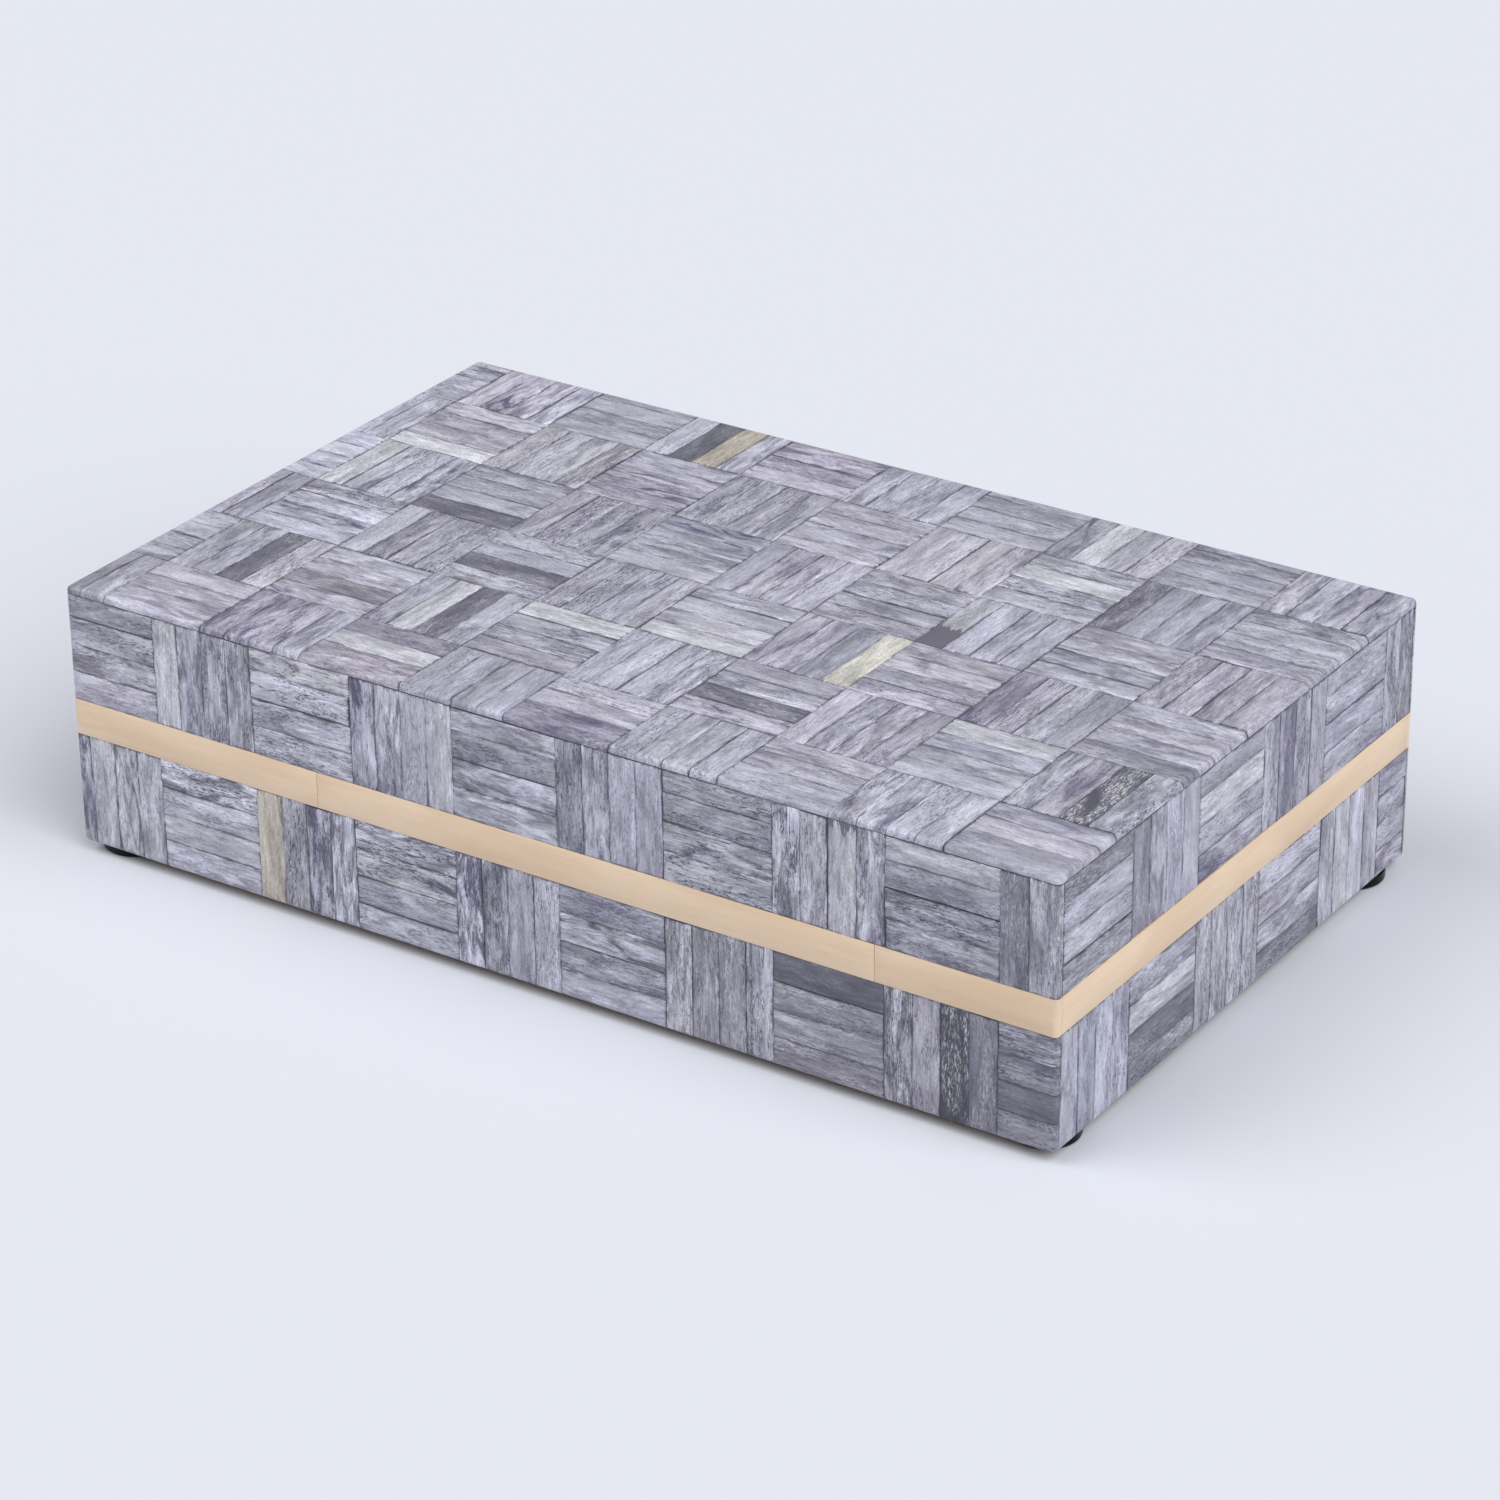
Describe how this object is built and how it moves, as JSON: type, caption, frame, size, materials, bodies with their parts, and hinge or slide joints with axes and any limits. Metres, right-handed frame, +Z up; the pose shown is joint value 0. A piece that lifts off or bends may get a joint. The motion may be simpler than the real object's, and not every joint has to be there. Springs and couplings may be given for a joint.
{
  "type": "inlaid box",
  "caption": "Shallow lidded box covered in a basket weave of grey-dyed bone strips, with a light wood band below a rear-hinged lid, on short round feet.",
  "frame": {"origin": "on the surface the feet stand on, under the middle of the box's overall outline", "axes": "+X along the length to the right seen from the front, +Y to the back where the hinges are, +Z up"},
  "size_m": [0.254, 0.1567, 0.066],
  "materials": {
    "bone": "grey-dyed bone strips, satin, streaked",
    "filler": "dark resin, matte",
    "band_wood": "pale straight-grained wood, satin",
    "carcass_wood": "plain light wood, unpolished",
    "lining": "charcoal velvet",
    "foot": "black, smooth",
    "brass": "satin brass"
  },
  "bodies": {
    "base": {"band_back": "band_wood", "band_front_left": "band_wood", "band_front_middle": "band_wood", "band_front_right": "band_wood", "band_left": "band_wood", "band_right": "band_wood", "base_back_board": "carcass_wood", "base_back_filler": "filler", "base_back_lining": "lining", "base_back_tiles": "bone", "base_floor_lining": "lining", "base_floor_panel": "carcass_wood", "base_front_board": "carcass_wood", "base_front_filler": "filler", "base_front_lining": "lining", "base_front_tiles": "bone", "base_left_board": "carcass_wood", "base_left_filler": "filler", "base_left_lining": "lining", "base_left_tiles": "bone", "base_right_board": "carcass_wood", "base_right_filler": "filler", "base_right_lining": "lining", "base_right_tiles": "bone", "foot_back_left": "foot", "foot_back_right": "foot", "foot_front_left": "foot", "foot_front_right": "foot", "hinge_base_screws": "brass", "hinge_left_base_leaf": "brass", "hinge_left_pin": "brass", "hinge_right_base_leaf": "brass", "hinge_right_pin": "brass"},
    "lid": {"hinge_left_lid_leaf": "brass", "hinge_lid_screws": "brass", "hinge_right_lid_leaf": "brass", "lid_back_board": "carcass_wood", "lid_back_filler": "filler", "lid_back_lining": "lining", "lid_back_tiles": "bone", "lid_front_board": "carcass_wood", "lid_front_filler": "filler", "lid_front_lining": "lining", "lid_front_tiles": "bone", "lid_left_board": "carcass_wood", "lid_left_filler": "filler", "lid_left_lining": "lining", "lid_left_tiles": "bone", "lid_right_board": "carcass_wood", "lid_right_filler": "filler", "lid_right_lining": "lining", "lid_right_tiles": "bone", "lid_top_board": "carcass_wood", "lid_top_filler": "filler", "lid_top_lining": "lining", "lid_top_tiles": "bone"}
  },
  "joints": [
    {"name": "lid_hinge", "type": "hinge", "parent": "base", "child": "lid", "pos_m": [0, 0.0785, 0.0386], "axis": [-1, 0, 0], "range_deg": [0, 100]}
  ]
}
